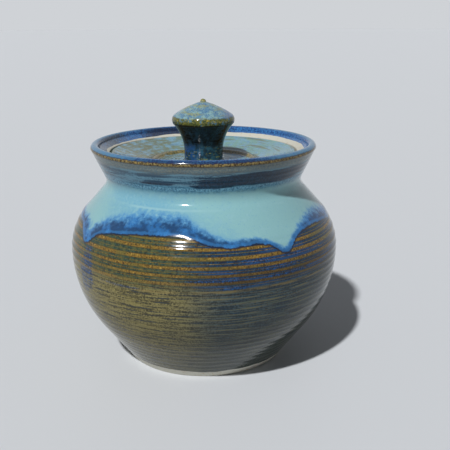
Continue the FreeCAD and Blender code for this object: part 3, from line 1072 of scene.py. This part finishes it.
@dataclass
class Pot(ThrownPiece):
    """The pot: foot ring, flank, belly, shoulder, neck, collar, lip and the lid's gallery."""

    name: str = "thrown_pot"
    body: Body = Body.POT
    node: str = "pot"
    slot: Slot = Slot.POT
    rings: ThrowingRings = ThrowingRings()
    edge: GlazeEdge = GlazeEdge()
    stain: CobaltStain = CobaltStain()
    glaze: PotGlaze = PotGlaze()
    fit: LidFit = LidFit()

    foot_radius: float = 54.0
    belly_radius: float = 91.0
    flank_rise: float = 26.0
    belly_rise: float = 51.0
    shoulder_rise: float = 25.5
    slope_rise: float = 19.0
    collar_rise: float = 25.7
    lip_thickness: float = 5.9
    foot_ring_width: float = 8.0
    foot_chamfer: float = 3.0
    foot_recess: float = 4.0
    floor_thickness: float = 6.5
    floor_bend: float = 16.0
    wall: float = 5.0
    shelf_width: float = 6.8
    shelf_drop: float = 3.0
    seat_depth: float = 11.0
    ledge_thickness: float = 4.5
    ledge_root: float = 4.0
    ledge_reach: float = 4.6
    foot_edge: float = 1.4
    neck_bend: float = 7.0
    soft_edge: float = 0.8
    throat_edge: float = 1.2
    inner_bend: float = 4.0

    flat_pace: float = 6.0
    inner_pace: float = 3.2
    edge_pace: float = 1.5
    seat_pace: float = 1.2
    shelf_pace: float = 1.0
    fine_pace: float = 0.75
    lip_pace: float = 0.5
    bead: float = 0.25
    bead_start: Point = (-0.6, 1.2)  # from the overglaze's edge, in millimetres
    bead_end: Point = (2.5, 9.0)
    neck_fade: float = 3.0
    lip_fade: float = 1.5
    collar_line: FingerLine = FingerLine(0.12, 3.1)

    @property
    def belly_height(self) -> float:
        """The height where the pot is widest."""
        return self.flank_rise + self.belly_rise

    @property
    def neck_height(self) -> float:
        """The height of the neck, between the shoulder and the collar."""
        return self.belly_height + self.shoulder_rise + self.slope_rise

    @property
    def crest_height(self) -> float:
        """The height of the lip's crest."""
        return self.neck_height + self.collar_rise

    @property
    def seat_height(self) -> float:
        """The height of the seat that carries the lid."""
        return self.crest_height - self.seat_depth

    def draw(self) -> SectionPen:
        """Draw the section from the middle of the underside, up the outside and down inside."""
        fit, wall, fine = self.fit, self.wall, self.fine_pace
        ring_inner = self.foot_radius - self.foot_ring_width
        inner = fit.throat_radius + self.ledge_reach
        (flank, flank_lean), flank_bend = joined_arc(
            self.belly_radius, self.belly_radius - self.foot_radius, self.flank_rise,
            self.belly_rise)
        (shoulder, slope_lean), shoulder_bend = joined_arc(
            self.belly_radius, self.belly_radius - (inner + wall), self.slope_rise,
            self.shoulder_rise)
        shoulder_top = self.belly_height + self.shoulder_rise
        half_lip = self.lip_thickness / 2
        lip = fit.gallery_radius + self.shelf_width + self.lip_thickness
        lip_level = self.crest_height - half_lip
        throat_level = self.seat_height - self.ledge_thickness
        inner_shoulder = (shoulder - wall * math.cos(slope_lean),
                          shoulder_top - wall * math.sin(slope_lean))
        inner_neck = inner_shoulder[1] + (inner_shoulder[0] - inner) / math.tan(slope_lean)
        inner_flank = (flank - wall * math.cos(flank_lean),
                       self.flank_rise + wall * math.sin(flank_lean))
        floor = self.foot_recess + self.floor_thickness
        floor_edge = inner_flank[0] - (inner_flank[1] - floor) * math.tan(flank_lean)
        return SectionPen((0, self.foot_recess), [
            Stretch("recess_edge", (ring_inner - self.foot_chamfer, self.foot_recess),
                    self.flat_pace),
            Stretch("ring_inner", (ring_inner, 0), self.edge_pace),
            Stretch("foot", (self.foot_radius, 0), self.edge_pace, rounding=self.foot_edge),
            Stretch("flank_top", (flank, self.flank_rise), fine),
            Stretch("belly", (self.belly_radius, self.belly_height), fine, flank_bend),
            Stretch("shoulder", (shoulder, shoulder_top), fine, shoulder_bend),
            Stretch("neck", (inner + wall, self.neck_height), fine, rounding=self.neck_bend),
            Stretch("lip_outer", (lip, lip_level), fine),
            Stretch("lip_crest", (lip - half_lip, self.crest_height), self.lip_pace, half_lip),
            Stretch("lip_inner", (lip - self.lip_thickness, lip_level), self.lip_pace, half_lip),
            Stretch("gallery_top", (fit.gallery_radius, lip_level - self.shelf_drop),
                    self.shelf_pace, rounding=self.soft_edge),
            Stretch("gallery_root", (fit.gallery_radius, self.seat_height), self.seat_pace),
            Stretch("seat_edge", (fit.throat_radius, self.seat_height), self.edge_pace,
                    rounding=self.throat_edge),
            Stretch("throat", (fit.throat_radius, throat_level), self.seat_pace),
            Stretch("ledge_foot", (inner, throat_level - self.ledge_root), self.edge_pace,
                    rounding=self.inner_bend),
            Stretch("inner_neck", (inner, inner_neck), self.edge_pace,
                    rounding=self.inner_bend),
            Stretch("inner_shoulder", inner_shoulder, self.inner_pace),
            Stretch("inner_belly", (self.belly_radius - wall, self.belly_height),
                    self.inner_pace, wall - shoulder_bend),
            Stretch("inner_flank", inner_flank, self.inner_pace, wall - flank_bend),
            Stretch("floor_edge", (floor_edge, floor), self.inner_pace,
                    rounding=self.floor_bend),
            Stretch("floor", (0, floor), self.flat_pace),
        ])

    def throw(self, surface: Surface, corners: dict[str, float]) -> None:
        """Give the pot its throwing rings and the runs of its overglaze.

        Args:
            surface: the spun surface.
            corners: each corner's travel along the section.
        """
        first, last = corners["foot_end"], corners["lip_outer"]
        outside = (surface.travel > first) & (surface.travel < last)
        crest = self.rings.crest(surface.height, surface.angle)
        relief = self.rings.relief(surface.height, crest)
        run = self.edge.distance(surface, first, last)
        relief += self.bead * ramp(run, *self.bead_start) * (1 - ramp(run, *self.bead_end))
        above_neck = ramp(surface.travel - corners["neck_end"], 0, self.neck_fade)
        relief += above_neck * self.collar_line.relief(surface.height, surface.angle)
        relief *= 1 - ramp(surface.travel - last, -self.lip_fade, 0)
        surface.push(np.where(outside, relief, 0))
        surface.mark(Mark.CREST, crest)
        surface.mark(Mark.RUN, run)
        surface.mark(Mark.FEATHER, run / self.edge.width(surface.angle))
        surface.mark(Mark.STAIN, np.where(outside, self.stain.share(surface), 0))

    def dress(self, corners: dict[str, float]) -> Material:
        """The pot's two glazes."""
        return self.glaze.mix(corners)


@dataclass
class Lid(ThrownPiece):
    """The lid: a dished disc with a raised ring, a flange and a locating wall."""

    name: str = "thrown_lid"
    body: Body = Body.LID
    node: str = "lid"
    slot: Slot = Slot.LID
    glaze: LidGlaze = LidGlaze()
    fit: LidFit = LidFit()

    seat: float = 0.0  # the height of the pot's seat
    flange_thickness: float = 5.3
    dish_depth: float = 7.3
    dish_thickness: float = 6.0
    locating_gap: float = 1.0
    locating_depth: float = 9.5
    locating_thickness: float = 4.6
    ring_radius: float = 34.5
    ring_width: float = 6.0
    ring_rise: float = 1.5
    soft_edge: float = 0.8
    wall_edge: float = 1.2

    under_pace: float = 4.0
    slope_pace: float = 3.0
    wall_pace: float = 2.0
    foot_pace: float = 1.5
    edge_pace: float = 1.0
    pad_pace: float = 0.8
    top_pace: float = 0.7
    ring_pace: float = 0.5
    line: FingerLine = FingerLine(0.12, 2.7)
    line_fade: float = 2.0

    @property
    def pad_height(self) -> float:
        """The height of the dish's floor, where the knob stands."""
        return self.seat + self.flange_thickness - self.dish_depth

    def draw(self) -> SectionPen:
        """Draw the section from the middle underneath, out to the flange and back on top."""
        edge, half_ring = self.fit.lid_radius, self.ring_width / 2
        ring_outer = self.ring_radius + half_ring
        slope = self.dish_depth / (edge - ring_outer)
        under = self.pad_height - self.dish_thickness
        wall_outer = self.fit.throat_radius - self.locating_gap
        wall_inner = wall_outer - self.locating_thickness
        wall_foot = self.seat - self.locating_depth
        wall_root = under + slope * (wall_inner - ring_outer)
        return SectionPen((0, under), [
            Stretch("under_edge", (ring_outer, under), self.under_pace),
            Stretch("wall_root", (wall_inner, wall_root), self.slope_pace),
            Stretch("wall_inner", (wall_inner, wall_foot), self.wall_pace),
            Stretch("wall_outer", (wall_outer, wall_foot), self.foot_pace,
                    rounding=self.wall_edge),
            Stretch("flange_root", (wall_outer, self.seat), self.wall_pace),
            Stretch("flange_edge", (edge, self.seat), self.wall_pace, rounding=self.soft_edge),
            Stretch("flange_top", (edge, self.seat + self.flange_thickness), self.edge_pace,
                    rounding=self.soft_edge),
            Stretch("ring_outer", (ring_outer, self.pad_height), self.top_pace),
            Stretch("ring_inner", (self.ring_radius - half_ring, self.pad_height),
                    self.ring_pace, bend_over(half_ring, self.ring_rise)),
            Stretch("pad", (0, self.pad_height), self.pad_pace),
        ])

    def throw(self, surface: Surface, corners: dict[str, float]) -> None:
        """Give the top its finger line, out to the edge."""
        on_top = ramp(surface.travel - corners["flange_top_end"], 0, self.line_fade)
        surface.push(on_top * self.line.relief(surface.radius, surface.angle))

    def dress(self, corners: dict[str, float]) -> Material:
        """The lid's glaze, which breaks on the raised ring."""
        return self.glaze.mix(corners, self.ring_radius)


@dataclass
class Knob(ThrownPiece):
    """The knob: a stem, a flare, a rounded band and a low dome with a tip."""

    name: str = "thrown_knob"
    body: Body = Body.LID
    node: str = "knob"
    slot: Slot = Slot.KNOB
    turns: int = 160
    glaze: KnobGlaze = KnobGlaze()

    seat: float = 0.0  # the height of the lid's dish
    stem_radius: float = 13.0
    luting_width: float = 1.0
    stem_rise: float = 6.0
    flare_rise: float = 18.0
    knob_radius: float = 21.0
    band_rise: float = 6.6
    band_bulge: float = 1.4
    dome_rise: float = 8.4
    dome_bend: float = 60.0
    tip_radius: float = 2.0

    base_pace: float = 4.0
    stem_pace: float = 0.7
    pace: float = 0.6
    fine_pace: float = 0.5
    tip_pace: float = 0.4
    line: FingerLine = FingerLine(0.05, 2.3)
    foot_fade: Point = (1.0, 4.0)  # from the seat, in millimetres
    tip_fade: Point = (-3.0, -1.0)  # from the tip

    @property
    def band_foot(self) -> float:
        """The height where the band starts."""
        return self.seat + self.stem_rise + self.flare_rise

    @property
    def band_top(self) -> float:
        """The height where the dome starts."""
        return self.band_foot + self.band_rise

    @property
    def tip(self) -> float:
        """The height of the knob's top."""
        return self.band_top + self.dome_rise + self.tip_radius

    def draw(self) -> SectionPen:
        """Draw the section from the middle of the base up to the tip."""
        edge = self.knob_radius - self.band_bulge
        flare_bend = bend_over(self.flare_rise, edge - self.stem_radius)
        band_bend = bend_over(self.band_rise / 2, self.band_bulge)
        return SectionPen((0, self.seat), [
            Stretch("luted_edge", (self.stem_radius + self.luting_width, self.seat),
                    self.base_pace),
            Stretch("stem_foot", (self.stem_radius, self.seat + self.luting_width),
                    self.fine_pace),
            Stretch("stem_top", (self.stem_radius, self.seat + self.stem_rise),
                    self.stem_pace),
            Stretch("band_foot", (edge, self.band_foot), self.pace, -flare_bend),
            Stretch("band_top", (edge, self.band_top), self.fine_pace, band_bend),
            Stretch("dome_top", (self.tip_radius, self.tip - self.tip_radius), self.pace,
                    self.dome_bend),
            Stretch("tip", (0, self.tip), self.tip_pace, self.tip_radius),
        ])

    def throw(self, surface: Surface, corners: dict[str, float]) -> None:
        """Give the knob its finger line, between its foot and its tip."""
        share = ramp(surface.height - self.seat, *self.foot_fade)
        share *= 1 - ramp(surface.height - self.tip, *self.tip_fade)
        surface.push(share * self.line.relief(surface.height, surface.angle))

    def dress(self, corners: dict[str, float]) -> Material:
        """The knob's glaze, in zones by height."""
        return self.glaze.mix(self.seat, self.band_foot, self.band_top, self.tip)


@dataclass(frozen=True)
class Studio:
    """A plain pale floor, one soft key light, an even surround and the camera."""

    floor_radius: float = 12.0
    floor_edges: int = 96
    floor_colour: Pigment = Pigment("CFD2D6")
    floor_brightness: float = 0.63
    floor_roughness: float = 0.6
    to_key: tuple[float, float, float] = (-0.384, -0.75, 1.0)
    key_strength: float = 3.5
    key_softness: float = 2.6
    surround: float = 0.088
    camera_distance: float = 0.508
    camera_height: float = 0.229
    camera_pitch: float = 15.51
    camera_yaw: float = 1.61
    camera_roll: float = -0.2
    lens: float = 60.72
    nearest: float = 0.01

    def lay_floor(self) -> Object:
        """The floor, which isn't part of the object."""
        shape = bmesh.new()
        bmesh.ops.create_circle(shape, cap_ends=True, segments=self.floor_edges,
                                radius=self.floor_radius)
        mesh = bpy.data.meshes.new("floor")
        shape.to_mesh(mesh)
        shape.free()
        material = bpy.data.materials.new("floor_paint")
        material.use_nodes = True
        paint = material.node_tree.nodes["Principled BSDF"]
        paint.inputs["Base Color"].default_value = self.floor_colour.linear
        paint.inputs["Roughness"].default_value = self.floor_roughness
        mesh.materials.append(material)
        floor = put("floor", mesh)
        return floor

    def light(self) -> None:
        """The key light and the surround."""
        lamp = bpy.data.lights.new("key", "SUN")
        lamp.energy = self.key_strength
        lamp.angle = math.radians(self.key_softness)
        key = put("key", lamp)
        key.rotation_euler = Vector(self.to_key).to_track_quat("Z", "Y").to_euler()

        world = bpy.data.worlds.new("surround")
        bpy.context.scene.world = world
        world.use_nodes = True
        nodes, links = world.node_tree.nodes, world.node_tree.links
        background = nodes["Background"]
        background.inputs["Color"].default_value = self.floor_colour.linear
        path = nodes.new("ShaderNodeLightPath")
        seen = path.outputs["Is Camera Ray"]
        for ray in ("Is Transmission Ray", "Is Glossy Ray"):
            either = nodes.new("ShaderNodeMath")
            either.operation = "MAXIMUM"
            links.new(seen, either.inputs[0])
            links.new(path.outputs[ray], either.inputs[1])
            seen = either.outputs[0]
        strength = nodes.new("ShaderNodeMapRange")
        links.new(seen, strength.inputs["Value"])
        strength.inputs["To Min"].default_value = self.surround / self.floor_brightness
        strength.inputs["To Max"].default_value = 1.0
        links.new(strength.outputs["Result"], background.inputs["Strength"])

    def aim_camera(self) -> None:
        """The camera, in front of the pot and looking a little down."""
        camera = bpy.data.cameras.new("camera")
        camera.lens = self.lens
        camera.clip_start = self.nearest
        viewer = put("camera", camera)
        turn = Matrix.Rotation(math.radians(-self.camera_yaw), 4, "Z")
        tilt = Matrix.Rotation(math.radians(90 - self.camera_pitch), 4, "X")
        roll = Matrix.Rotation(math.radians(self.camera_roll), 4, "Z")
        place = Matrix.Translation((0, -self.camera_distance, self.camera_height))
        viewer.matrix_world = place @ turn @ tilt @ roll
        bpy.context.scene.camera = viewer

    def set_up(self) -> None:
        """Lay the floor, set the lights and aim the camera."""
        self.lay_floor()
        self.light()
        self.aim_camera()
        bpy.context.scene.view_settings.view_transform = "Standard"


def main() -> None:
    """Build the pieces, then the studio."""
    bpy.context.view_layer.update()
    pot = Pot()
    lid = Lid(seat=pot.seat_height)
    knob = Knob(seat=lid.pad_height)
    for piece in (pot, lid, knob):
        piece.build()
    Studio().set_up()


if __name__ == "__main__":
    main()
